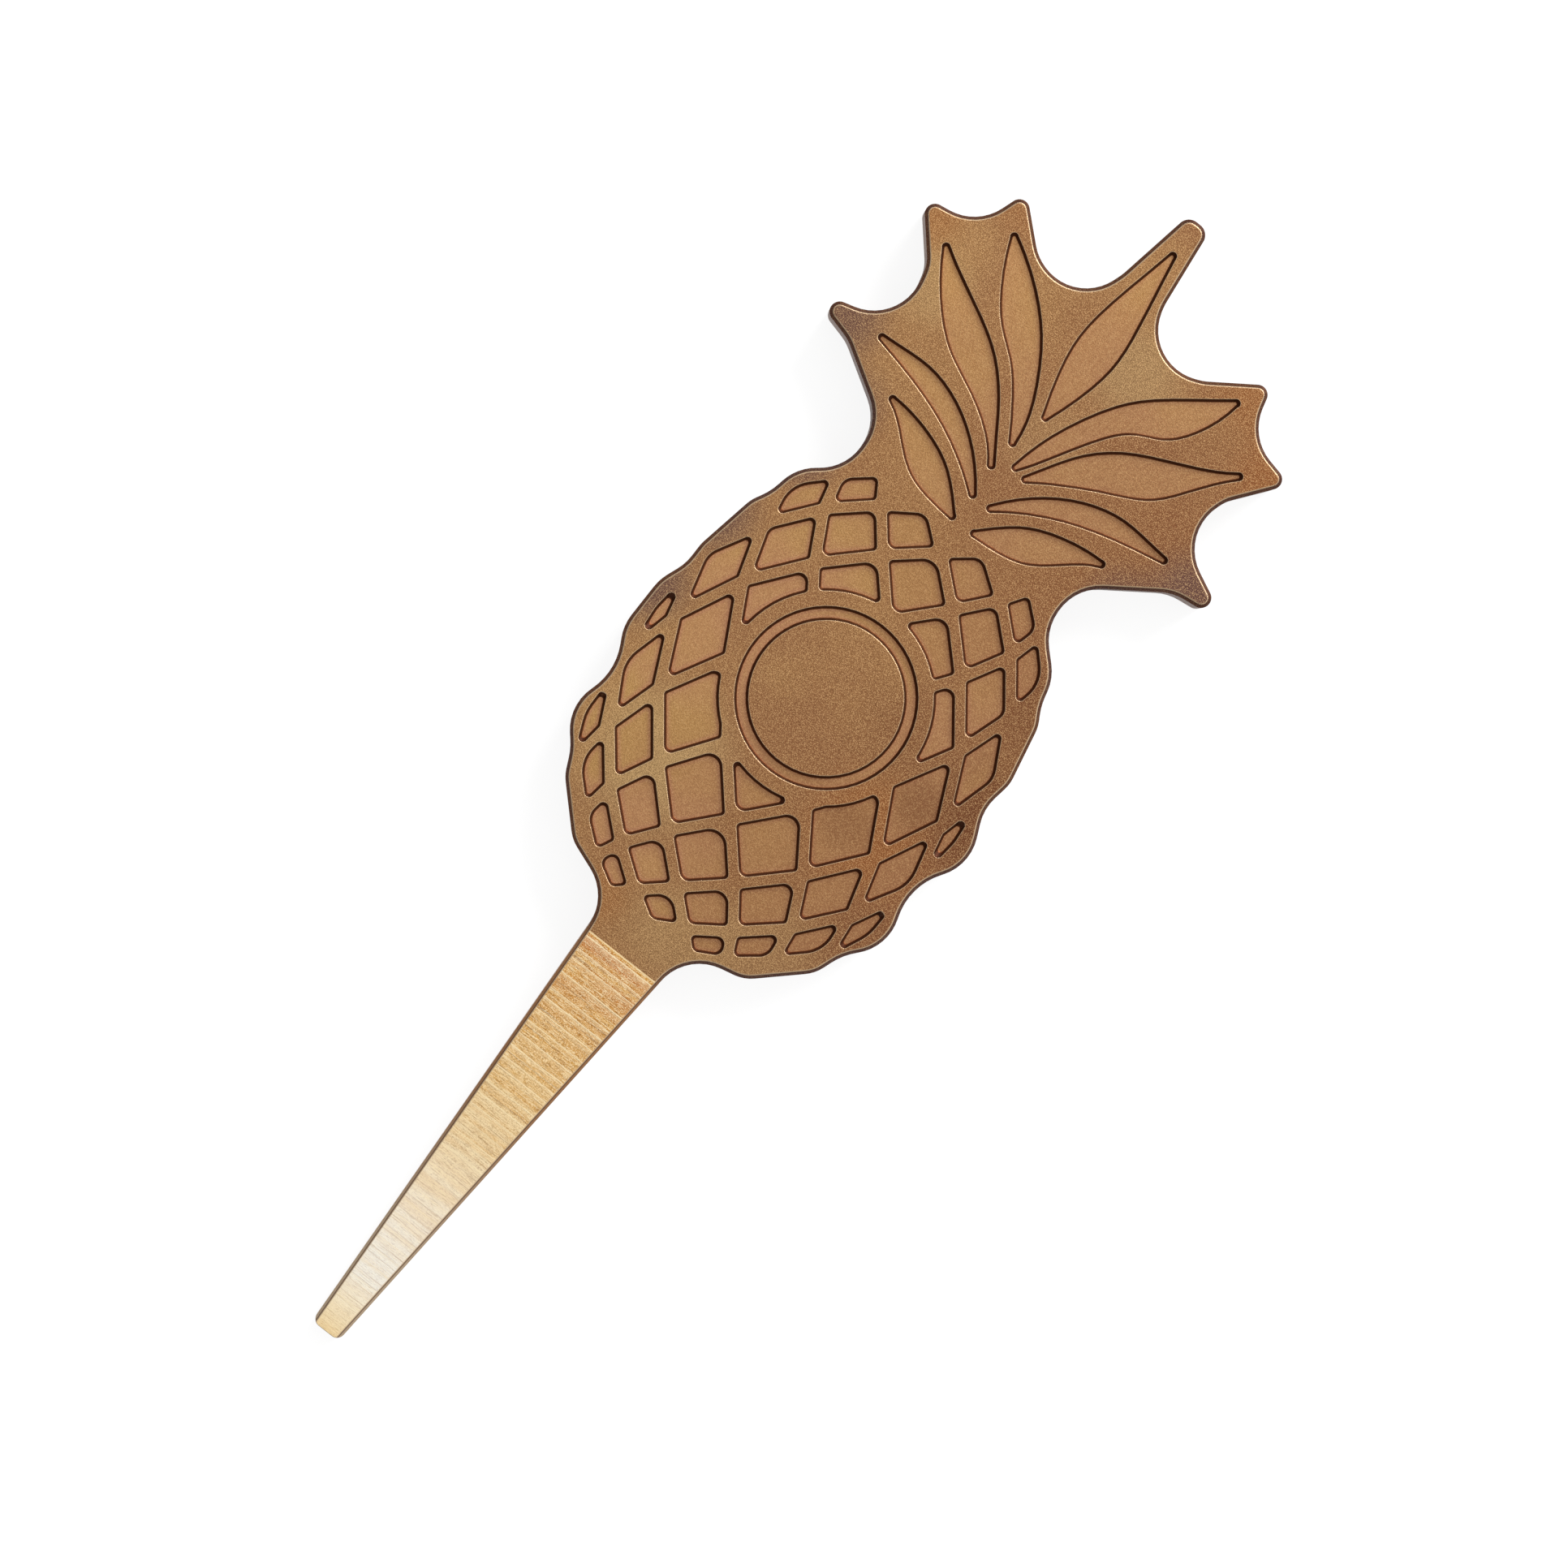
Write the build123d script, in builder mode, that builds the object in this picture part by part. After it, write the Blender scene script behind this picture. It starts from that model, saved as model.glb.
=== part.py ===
"""One-piece golf divot tool in the shape of a pineapple, milled from a brass plate.

Frame: millimetres. The plate lies on its plain back (Z = 0) with its decorated face up,
the leaf crown towards +Y and the prong towards -Y. The origin is on the back face, under
the middle of the round medallion.
"""
from math import hypot, radians, sin, sqrt, tan
import os

from build123d import *

# --- Driving dimensions -------------------------------------------------------------
plate_thickness = 4.8
edge_break = 0.25            # small bevel all round the upper and the lower edge

body_width = 26.0            # across the widest scales
body_length = 31.5           # from the neck to the foot of the scales
body_middle = -1.75          # height of the widest row of scales

crown_width = 30.5           # roughly over the tips of the lowest leaves
crown_height = 24.3          # from the neck to the top of the spike
spike_width = 1.68
spike_lean = -0.09           # the top of the spike stands a little to the left
spike_corner = 0.8           # rounds the top of the spike
leaf_tip_corner = 0.65       # rounds the three leaf tips on each side
gentle_corner = 4.2          # the long bends of the outline
round_corner = 3.2           # its scoops and most of its scallops
snug_corner = 2.5            # its sharpest scallops
straight_share = 0.98        # two round corners may use this share of the side between them

prong_length = 30.4          # the milled ramp, root to tip
prong_root_width = 5.74
prong_tip_width = 2.1
prong_tip_thickness = 1.3
prong_tip_corner = 0.55

pocket_depth = 0.35          # floors of all pockets below the face
wall_run = 0.18              # width of the sloping pocket wall, seen from above
floor_corner = 0.1           # smallest corner left by the cutter on a pocket floor
floor_ease = 0.05            # floor corners are this much rounder than the rim above them

medallion_ring_radius = 5.8  # outside of the ring groove
medallion_ring_width = 0.9
medallion_land = 0.95        # flat ring between the groove and the scales
smallest_cut = 0.01          # area in mm2; a scale that loses less to the medallion keeps its corners

rib_width = 0.66             # flat ribs between the scales
scale_step = 32.6            # degrees round the fruit from one scale to the next
first_row = 4.29             # height of the two middle rows
row_shrink = 0.626           # each further row is this much lower than the last
fruit_width = 23.55          # the rib crossings lie on an egg this wide
fruit_above = 20.5
fruit_below = 19.0
edge_flare = 0.055           # beyond the second column the crossings reach out by this share
edge_flare_growth = 0.025    # and by this much more with each row away from the middle
side_scale_drop = 0.42       # the narrow scales at the sides sit this much lower
side_scale_stretch = 0.55    # and reach this much further up and down
upper_corner_middle = 1.1    # corner towards the crown, in the middle column
upper_corner_falloff = 0.5   # and this much sharper with each column outwards
lower_corner_middle = 0.65   # corner towards the prong
lower_corner_falloff = 0.2

neck_share = 0.975           # where the crown meets the fruit, in shares of the half length
root_share = 1.2             # where the prong leaves the fruit

# --- Derived places ------------------------------------------------------------------
neck_height = body_middle + neck_share * body_length / 2
spike_top = neck_height + crown_height
prong_root = body_middle - root_share * body_length / 2
prong_tip = prong_root - prong_length
pocket_corner = wall_run + floor_corner


def on_body(across, up):
    """A point given in shares of the body's half width and half length."""
    return (across * body_width / 2, body_middle + up * body_length / 2)


def on_crown(across, up):
    """A point given in shares of the crown's half width and of its height above the neck."""
    return (across * crown_width / 2, neck_height + up * crown_height)


def fitted_radii(corners, radii, least=0.0):
    """The radii of a closed outline, cut down towards the least where two corners would meet."""
    corners = [Vector(corner) for corner in corners]
    count = len(corners)
    sides = [corners[(index + 1) % count] - corners[index] for index in range(count)]
    reaches = [tan(radians(sides[index - 1].get_angle(sides[index])) / 2) for index in range(count)]
    extras = [(radius - least) * reach for radius, reach in zip(radii, reaches)]
    shares = []
    for index, side in enumerate(sides):
        following = (index + 1) % count
        room = max(0.0, straight_share * side.length - least * (reaches[index] + reaches[following]))
        taken = extras[index] + extras[following]
        shares.append(1.0 if taken <= room else room / taken)
    fits = [min(shares[index - 1], shares[index]) for index in range(count)]
    return [least + (radius - least) * fit for radius, fit in zip(radii, fits)]


# --- Outline: corners from the top of the spike down each side, each with its radius -------
# The sides were drawn by hand, so the left one isn't quite the mirror image of the right one.
right_corners = [
    ((spike_lean + spike_width / 2, spike_top), spike_corner),
    (on_crown(0.092, 0.778), gentle_corner),
    (on_crown(0.167, 0.622), round_corner),
    (on_crown(0.413, 0.689), round_corner),
    (on_crown(0.646, 0.791), leaf_tip_corner),
    (on_crown(0.706, 0.651), round_corner),
    (on_crown(0.958, 0.617), leaf_tip_corner),
    (on_crown(0.794, 0.482), snug_corner),
    (on_crown(0.717, 0.345), round_corner),
    (on_crown(1.108, 0.231), leaf_tip_corner),
    (on_crown(0.853, 0.21), round_corner),
    (on_crown(0.523, 0.064), round_corner),
    (on_body(0.628, 0.874), round_corner),
    (on_body(0.804, 0.735), round_corner),
    (on_body(0.839, 0.62), gentle_corner),
    (on_body(0.893, 0.544), snug_corner),
    (on_body(0.957, 0.296), snug_corner),
    (on_body(0.93, 0.154), round_corner),
    (on_body(1.052, -0.058), round_corner),
    (on_body(0.875, -0.27), gentle_corner),
    (on_body(0.985, -0.518), round_corner),
    (on_body(0.835, -0.652), gentle_corner),
    (on_body(0.783, -0.778), snug_corner),
    (on_body(0.531, -0.975), snug_corner),
    (on_body(0.225, -1.032), round_corner),
]
left_corners = [
    ((spike_lean - spike_width / 2, spike_top), spike_corner),
    (on_crown(-0.124, 0.774), gentle_corner),
    (on_crown(-0.2, 0.633), round_corner),
    (on_crown(-0.44, 0.674), round_corner),
    (on_crown(-0.643, 0.788), leaf_tip_corner),
    (on_crown(-0.721, 0.64), round_corner),
    (on_crown(-0.967, 0.615), leaf_tip_corner),
    (on_crown(-0.78, 0.482), snug_corner),
    (on_crown(-0.71, 0.314), round_corner),
    (on_crown(-1.109, 0.244), leaf_tip_corner),
    (on_crown(-0.848, 0.203), round_corner),
    (on_crown(-0.532, 0.084), round_corner),
    (on_body(-0.619, 0.875), round_corner),
    (on_body(-0.803, 0.761), round_corner),
    (on_body(-0.829, 0.624), gentle_corner),
    (on_body(-0.88, 0.546), snug_corner),
    (on_body(-0.937, 0.287), snug_corner),
    (on_body(-0.936, 0.185), round_corner),
    (on_body(-0.988, 0.071), round_corner),
    (on_body(-0.988, -0.162), round_corner),
    (on_body(-0.876, -0.326), gentle_corner),
    (on_body(-0.959, -0.547), round_corner),
    (on_body(-0.818, -0.678), gentle_corner),
    (on_body(-0.761, -0.776), snug_corner),
    (on_body(-0.538, -0.96), snug_corner),
    (on_body(-0.233, -1.051), round_corner),
]
left_root = (-prong_root_width / 2, prong_root)
right_root = (prong_root_width / 2, prong_root)
prong_end = [(prong_tip_width / 2, prong_tip), (-prong_tip_width / 2, prong_tip)]

with BuildSketch() as outline:
    rounded = [*left_corners[::-1], *right_corners]
    corners = [left_root, *[corner for corner, radius in rounded], right_root, *prong_end]
    wanted = [0.0, *[radius for corner, radius in rounded], 0.0, prong_tip_corner, prong_tip_corner]
    radii = fitted_radii(corners, wanted)
    with BuildLine():
        FilletPolyline(*corners[:-2], radius=radii[1:-3])
        FilletPolyline(right_root, *prong_end, left_root, radius=radii[-2:])
    make_face()


# --- Scales of the fruit ---------------------------------------------------------------
def crossing(row, column):
    """Where two ribs cross: rows get lower and columns narrower towards the fruit's edge."""
    rows = abs(row)
    columns = abs(column)
    rise = rows * first_row - rows * (rows - 1) / 2 * row_shrink
    half_length = fruit_above if row > 0 else fruit_below
    girth = sqrt(max(0.01, 1 - (rise / half_length) ** 2))
    flare = (edge_flare + edge_flare_growth * rows) * max(0, columns - 2)
    across = sin(radians(scale_step * columns)) * (1 + flare)
    side = 1 if column > 0 else -1
    up = rise if row > 0 else -rise
    return (side * fruit_width / 2 * girth * across, body_middle + up)


# Each row's outermost column, and the radius of the outer corner of the scale there
row_ends = {
    4: (1.5, 0.9),
    3: (2, 2.2),
    2: (1.5, 0.8),
    1: (2, 1.6),
    0: (2.5, 3.0),
    -1: (2, 2.4),
    -2: (2.5, 3.0),
    -3: (2, 2.2),
    -4: (1.5, 1.0),
    -5: (1, 0.7),
}


def scale_places():
    """Row and column of each scale outside the medallion; every other row is set half a scale over."""
    for row, (last, corner) in row_ends.items():
        for step in range(int(2 * last) + 1):
            column = step - last
            if hypot(*crossing(row, column)) > medallion_ring_radius:
                yield row, column


def moved_sides(corners, distance):
    """The corners of a polygon whose sides lie this far inside those of the given one."""
    moved = []
    for index, corner in enumerate(corners):
        before = (corners[index - 1] - corner).normalized()
        after = (corners[(index + 1) % len(corners)] - corner).normalized()
        half_angle = radians(before.get_angle(after)) / 2
        moved.append(corner + (before + after).normalized() * (distance / sin(half_angle)))
    return moved


def scale_pocket(row, column, inset=0):
    """One diamond between four rib crossings, clear of the medallion; the inset is for its floor."""
    last, edge_corner = row_ends[row]
    outer_corner = edge_corner if abs(column) == last else pocket_corner
    left_corner, right_corner = (outer_corner, pocket_corner) if column < 0 else (pocket_corner, outer_corner)
    upper_corner = max(pocket_corner, upper_corner_middle - upper_corner_falloff * abs(column))
    lower_corner = max(pocket_corner, lower_corner_middle - lower_corner_falloff * abs(column))
    wanted = [corner + floor_ease for corner in (left_corner, upper_corner, right_corner, lower_corner)]
    least = pocket_corner + floor_ease
    drop, stretch = (side_scale_drop, side_scale_stretch) if abs(column) > 2 else (0, 0)
    crossings = [
        Vector(*crossing(row, column - 0.5)) - Vector(0, drop),
        Vector(*crossing(row + 1, column)) - Vector(0, drop - stretch),
        Vector(*crossing(row, column + 0.5)) - Vector(0, drop),
        Vector(*crossing(row - 1, column)) - Vector(0, drop + stretch),
    ]
    rim = moved_sides(crossings, rib_width / 2)
    drawn_in = inset if inset else floor_ease
    radii = [radius - drawn_in for radius in fitted_radii(rim, wanted, least)]
    with BuildSketch() as diamond:
        with BuildLine():
            FilletPolyline(*moved_sides(rim, inset), radius=radii, close=True)
        make_face()
        whole = diamond.sketch.area
        Circle(medallion_ring_radius + medallion_land + inset, mode=Mode.SUBTRACT)
        if diamond.sketch.area < whole - smallest_cut:
            offset(amount=drawn_in - least)
            offset(amount=least - drawn_in)
    return diamond.sketch


# --- Leaves of the crown: tip, upper edge, base, lower edge, each on the right side -------
first_leaf = (
    on_crown(0.565, 0.156),
    [on_crown(0.471, 0.16), on_crown(0.34, 0.143), on_crown(0.209, 0.108), on_crown(0.118, 0.063)],
    on_crown(0.042, 0.006),
    [on_crown(0.477, 0.113), on_crown(0.369, 0.055), on_crown(0.295, 0.026), on_crown(0.18, 0.007)],
)
second_leaf = (
    on_crown(0.758, 0.262),
    [on_crown(0.654, 0.276), on_crown(0.507, 0.28), on_crown(0.359, 0.258), on_crown(0.229, 0.215)],
    on_crown(0.033, 0.08),
    [on_crown(0.523, 0.219), on_crown(0.326, 0.178), on_crown(0.163, 0.125)],
)
third_leaf = (
    on_crown(0.784, 0.558),
    [on_crown(0.516, 0.476), on_crown(0.32, 0.41), on_crown(0.209, 0.345), on_crown(0.124, 0.265)],
    on_crown(0.072, 0.195),
    [on_crown(0.647, 0.435), on_crown(0.549, 0.361), on_crown(0.386, 0.303), on_crown(0.254, 0.258)],
)
third_leaf_left = (
    on_crown(0.778, 0.554),
    [on_crown(0.497, 0.472), on_crown(0.333, 0.41), on_crown(0.215, 0.336), on_crown(0.118, 0.25)],
    on_crown(0.049, 0.168),
    [on_crown(0.595, 0.394), on_crown(0.497, 0.345), on_crown(0.333, 0.295), on_crown(0.215, 0.254)],
)
fourth_leaf = (
    on_crown(0.585, 0.704),
    [on_crown(0.34, 0.595), on_crown(0.235, 0.533), on_crown(0.124, 0.427), on_crown(0.052, 0.324)],
    on_crown(0.016, 0.201),
    [on_crown(0.529, 0.575), on_crown(0.438, 0.505), on_crown(0.32, 0.464), on_crown(0.235, 0.406)],
)
fourth_leaf_left = (
    on_crown(0.582, 0.685),
    [on_crown(0.333, 0.591), on_crown(0.223, 0.521), on_crown(0.124, 0.427), on_crown(0.058, 0.336)],
    on_crown(0.042, 0.246),
    [on_crown(0.483, 0.55), on_crown(0.386, 0.476), on_crown(0.268, 0.418), on_crown(0.176, 0.353)],
)
middle_leaf = (
    on_crown(-0.008, 0.903),
    [on_crown(-0.055, 0.805), on_crown(-0.092, 0.69), on_crown(-0.108, 0.575), on_crown(-0.08, 0.468)],
    on_crown(-0.008, 0.349),
    [on_crown(0.036, 0.805), on_crown(0.071, 0.69), on_crown(0.09, 0.575), on_crown(0.064, 0.468)],
)


def moved_in(start, points, end, inset):
    """The points, moved by the inset to the right of the smooth edge that runs through them."""
    edge = Edge.make_spline([start, *points, end])
    return [point + edge.tangent_at(point).rotate(Axis.Z, -90) * inset for point in points]


def leaf_pocket(leaf, side, inset=0):
    """A leaf with round ends; the side is 1 for the right and -1 for the left of the crown."""
    tip, upper, base, lower = leaf
    tip, base = Vector(*tip), Vector(*base)
    upper = [Vector(*point) for point in upper]
    lower = [Vector(*point) for point in lower]
    radius = pocket_corner - inset
    ease = floor_ease if inset else 0
    ends = []
    for end, above, below in ((tip, upper[0], lower[0]), (base, lower[-1], upper[-1])):
        along = (end - (above + below) / 2).normalized()
        across = along.rotate(Axis.Z, 90)
        middle = end - along * (pocket_corner + ease)
        ends.append((middle + across * radius, middle + along * radius, middle - across * radius))
    tip_arc, base_arc = ends
    with BuildSketch() as leaf_outline:
        with BuildLine():
            ThreePointArc(*tip_arc)
            Spline(tip_arc[2], *moved_in(tip_arc[2], lower, base_arc[0], inset), base_arc[0])
            ThreePointArc(*base_arc)
            Spline(base_arc[2], *moved_in(base_arc[2], upper[::-1], tip_arc[0], inset), tip_arc[0])
        make_face()
        if side < 0:
            mirror(about=Plane.YZ, mode=Mode.REPLACE)
    return leaf_outline.sketch


# --- The tool --------------------------------------------------------------------------
face_plane = Plane.XY.offset(plate_thickness)
floor_plane = face_plane.offset(-pocket_depth)


def pocket_cutter(rim, floor):
    """What the cutter takes out of the face: walls slope from the rim in to a flat floor."""
    with BuildPart() as cutter:
        with BuildSketch(face_plane):
            add(rim)
        with BuildSketch(floor_plane):
            add(floor)
        loft()
    return cutter.part


pockets = []
for row, column in scale_places():
    pockets.append(pocket_cutter(scale_pocket(row, column), scale_pocket(row, column, inset=wall_run)))
for side, leaves in (
    (1, (middle_leaf, first_leaf, second_leaf, third_leaf, fourth_leaf)),
    (-1, (first_leaf, second_leaf, third_leaf_left, fourth_leaf_left)),
):
    for leaf in leaves:
        pockets.append(pocket_cutter(leaf_pocket(leaf, side), leaf_pocket(leaf, side, inset=wall_run)))

with BuildPart() as ring_groove:
    with BuildSketch(Plane.XZ):
        with BuildLine():
            Polyline(
                (medallion_ring_radius, plate_thickness),
                (medallion_ring_radius - wall_run, plate_thickness - pocket_depth),
                (medallion_ring_radius - medallion_ring_width + wall_run, plate_thickness - pocket_depth),
                (medallion_ring_radius - medallion_ring_width, plate_thickness),
                close=True,
            )
        make_face()
    revolve()

# The prong is milled down from its root to a thin end, with a bevel along each side.
with BuildPart() as prong_ramp:
    for up, width, height in (
        (prong_root, prong_root_width, plate_thickness),
        (prong_tip, prong_tip_width, prong_tip_thickness),
    ):
        flat = width / 2 - edge_break
        side = width / 2 + edge_break
        with BuildSketch(Plane.XZ.offset(-up)):
            with BuildLine():
                Polyline(
                    (-flat, height),
                    (flat, height),
                    (side, height - 2 * edge_break),
                    (side, plate_thickness + edge_break),
                    (-side, plate_thickness + edge_break),
                    (-side, height - 2 * edge_break),
                    close=True,
                )
            make_face()
    loft()

with BuildPart() as divot_tool:
    with BuildSketch():
        add(outline.sketch)
    extrude(amount=plate_thickness)
    chamfer(divot_tool.faces().filter_by(Axis.Z).edges(), edge_break)
    add([prong_ramp.part, *pockets, ring_groove.part], mode=Mode.SUBTRACT)

divot_tool.part.label = "divot_tool"
os.makedirs("parts", exist_ok=True)
export_step(divot_tool.part, "parts/divot_tool.step")
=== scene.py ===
# %% [markdown]
# # A pineapple divot tool, milled from one brass plate
# A divot tool lifts the turf where a golf ball has dented the green. This one is a single flat
# plate: a fruit with a lattice of milled scales, a crown of nine leaves, and one long prong.
# The real thing is one piece of metal, so the solid model is shown as it is, and no mesh is
# added to it. All of its character is in its finish, so this script spends its effort on one
# material, on the light that shows it, and on the camera.

# %% Load the solid model
import math

import bpy
from mathutils import Matrix, Vector


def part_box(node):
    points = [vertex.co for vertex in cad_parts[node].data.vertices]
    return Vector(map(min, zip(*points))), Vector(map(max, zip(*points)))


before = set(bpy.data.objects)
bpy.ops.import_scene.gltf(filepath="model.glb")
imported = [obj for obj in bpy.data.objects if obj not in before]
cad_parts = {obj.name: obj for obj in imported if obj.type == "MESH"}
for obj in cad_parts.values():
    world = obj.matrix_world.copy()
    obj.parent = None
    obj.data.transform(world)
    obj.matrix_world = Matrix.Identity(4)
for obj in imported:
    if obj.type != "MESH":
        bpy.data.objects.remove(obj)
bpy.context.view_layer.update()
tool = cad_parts["divot_tool"]
low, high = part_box("divot_tool")
print("plate", [round((b - a) * 1000, 2) for a, b in zip(low, high)], "mm")

# %% [markdown]
# ## Measures
# The pocket floors lie a little below the face, and the ramp of the prong falls evenly from
# its root to a thin tip. These lengths say where one finish ends and the next begins. They
# could be measured on the mesh, but a few named lengths are easier to follow. They are in
# metres, as the model is. Patterns are easier to read in millimetres, so wherever a pattern
# needs one of them it is divided by MM.

# %% Lengths of the tool
MM = 0.001
face_height = high[2]
pocket_depth = 0.35 * MM
prong_tip = low[1]
prong_length = 30.4 * MM
prong_root = prong_tip + prong_length
prong_tip_thickness = 1.3 * MM
ramp_fall = (face_height - prong_tip_thickness) / prong_length
root_y = prong_root / MM
tip_y = prong_tip / MM
lengths_in_mm = {
    "Face height": face_height / MM,
    "Pocket depth": pocket_depth / MM,
    "Root": root_y,
    "Ramp fall": ramp_fall,
}
print("prong from", round(root_y, 2), "to", round(tip_y, 2), "mm")
print("ramp falls", round(ramp_fall, 3), "mm for each mm")


# %% [markdown]
# ## Helpers for node trees
# A material is a tree of nodes, which could be joined by hand in the editor. In a script,
# adding a node, setting its values and linking its inputs is always the same work, so a few
# small helpers do it. A value that is itself a socket is linked, and any other is typed in.

# %% Helpers: nodes and arithmetic
def add_node(tree, kind, inputs=None, **settings):
    """A new node; inputs maps a socket's name or number to a value or to another socket."""
    node = tree.nodes.new(kind)
    for name, value in settings.items():
        setattr(node, name, value)
    for key, value in (inputs or {}).items():
        if isinstance(value, bpy.types.NodeSocket):
            tree.links.new(value, node.inputs[key])
        else:
            node.inputs[key].default_value = value
    return node


def calculate(tree, operation, first, second=0.0, third=0.0, clamp=False):
    """The result of one Math node. MULTIPLY_ADD adds the third value, and COMPARE takes it as its reach."""
    inputs = {0: first, 1: second, 2: third}
    return add_node(tree, "ShaderNodeMath", inputs, operation=operation, use_clamp=clamp).outputs[0]


def times(tree, first, second):
    """The product of two values, which is also the overlap of two masks."""
    return calculate(tree, "MULTIPLY", first, second)


def between(tree, value, start, end):
    """0 below start, 1 above end and smooth in between; start may lie above end."""
    inputs = {"Value": value, "From Min": start, "From Max": end}
    return add_node(tree, "ShaderNodeMapRange", inputs, interpolation_type="SMOOTHSTEP").outputs["Result"]


# %% [markdown]
# ## Helpers for node groups
# A node group is a small tree with named inputs and outputs, like a function. Everything that
# more than one finish of this tool uses, such as the grain, is built once as a group. All of
# the groups put out masks and heights, so one helper opens a group and another closes it.

# %% Helpers: node groups
def new_group(name, inputs):
    """An empty shader node group, and the node inside it that brings in its named values."""
    group = bpy.data.node_groups.new(name, "ShaderNodeTree")
    for label, value in inputs.items():
        kind = "NodeSocketVector" if isinstance(value, tuple) else "NodeSocketFloat"
        socket = group.interface.new_socket(label, in_out="INPUT", socket_type=kind)
        socket.default_value = value
    return group, group.nodes.new("NodeGroupInput")


def put_out(group, masks):
    """Give the group a named output for each mask, and link it."""
    for label in masks:
        group.interface.new_socket(label, in_out="OUTPUT", socket_type="NodeSocketFloat")
    end = group.nodes.new("NodeGroupOutput")
    for label, socket in masks.items():
        group.links.new(socket, end.inputs[label])
    print("group", group.name, "puts out", ", ".join(masks))
    return group


# %% [markdown]
# ## Zones of the surface
# Each face of the plate was made in its own way. The face was blasted with glass beads, the
# pockets were cut by a small end mill and their sloping walls stayed dark, deepened here with
# painted shade, the sides were profiled, and the ramp was milled last, so it is bright, with a
# painted reflection along it. Each zone could have a material of its own, but then every pattern
# would stop dead at a border. Height and slope tell the zones apart, so one node group reads the
# place and the normal and puts out a mask for each zone.

# %% Node group: zones of the surface
# The upward part of a face's normal is 1 on a level face and 0.7071 on a bevel of 45 degrees.
LEVEL_FROM = 0.985
UPRIGHT_TO = 0.2
BEVEL_AT = 0.7071
BEVEL_REACH = 0.012
# Depths are shares of the pocket depth, counted down from the face. Each pair says where a
# mask begins and where it is full.
FLOOR_REACH = 0.1
FOOT = (0.75, 1.0)
LIP = (0.35, 0.2)
BRINK = (0.16, 0.08)


def share_of_depth(group, start, place):
    """How far a place lies below the face, or below the ramp, as a share of the pocket depth."""
    towards_tip = calculate(group, "SUBTRACT", start.outputs["Root"], place.outputs["Y"])
    past_root = calculate(group, "MAXIMUM", towards_tip, 0.0)
    fall = times(group, past_root, start.outputs["Ramp fall"])
    top = calculate(group, "SUBTRACT", start.outputs["Face height"], fall)
    depth = calculate(group, "SUBTRACT", top, place.outputs["Z"])
    return calculate(group, "DIVIDE", depth, start.outputs["Pocket depth"])


def zones_group():
    """Masks for the floors, the walls, the sides, the bevels and the ramp."""
    group, start = new_group("surface_zones", {"Place": (0, 0, 0), **lengths_in_mm})
    place = add_node(group, "ShaderNodeSeparateXYZ", {0: start.outputs["Place"]})
    normal = add_node(group, "ShaderNodeNewGeometry").outputs["True Normal"]
    upwards = add_node(group, "ShaderNodeSeparateXYZ", {0: normal}).outputs["Z"]
    up_or_down = calculate(group, "ABSOLUTE", upwards)
    level = calculate(group, "GREATER_THAN", upwards, LEVEL_FROM)
    upright = calculate(group, "LESS_THAN", up_or_down, UPRIGHT_TO)
    slanted = calculate(group, "COMPARE", up_or_down, BEVEL_AT, BEVEL_REACH)
    on_prong = calculate(group, "LESS_THAN", place.outputs["Y"], start.outputs["Root"])
    off_prong = calculate(group, "SUBTRACT", 1.0, on_prong)
    share = share_of_depth(group, start, place)
    in_pocket = times(group, calculate(group, "LESS_THAN", share, 1.0 + FLOOR_REACH), off_prong)
    at_floor = times(group, calculate(group, "GREATER_THAN", share, 1.0 - FLOOR_REACH), in_pocket)
    known = calculate(group, "MAXIMUM", level, calculate(group, "MAXIMUM", upright, slanted))
    sloping = calculate(group, "SUBTRACT", 1.0, known)
    return put_out(group, {
        "Level": level,
        "Floor": times(group, level, at_floor),
        "Wall": times(group, sloping, in_pocket),
        "Foot": between(group, share, *FOOT),
        "Lip": between(group, share, *LIP),
        "Brink": between(group, share, *BRINK),
        "Side": upright,
        "Bevel": slanted,
        "Ramp": times(group, level, on_prong),
    })


zones = zones_group()


# %% [markdown]
# ## Blasted grain
# Glass beads leave a skin of tiny dimples, some of which catch the light while others stay
# dark. The light specks are painted glints in the colour, and the dark ones are dark specks. The
# dimples could be modelled, but they are only a few hundredths of a millimetre across. One fine
# noise makes both kinds of speck and the height for the bump, and two slow ones make the
# uneven patina that clouds the brown from olive to red.

# %% Node group: blasted grain
DIMPLES_PER_MM = 16.5
COARSE_PER_MM = 5.0
COARSE_SHARE = 0.12
CLOUD_SIZE = 7.0
DRIFT_TO_CLOUD = 0.45
# Each pair says at which noise a mask begins and at which it is full.
GLINT_SPECK = (0.5, 0.66)
DARK_SPECK = (0.5, 0.35)
CLOUD = (0.35, 0.65)
DRIFT = (0.4, 0.6)


def noise(tree, place, scale, detail=2.0, roughness=0.5):
    """A random value from 0 to 1 that changes smoothly, over about 1 / scale of the place."""
    inputs = {"Vector": place, "Scale": scale, "Detail": detail, "Roughness": roughness}
    return add_node(tree, "ShaderNodeTexNoise", inputs).outputs[0]


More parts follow.
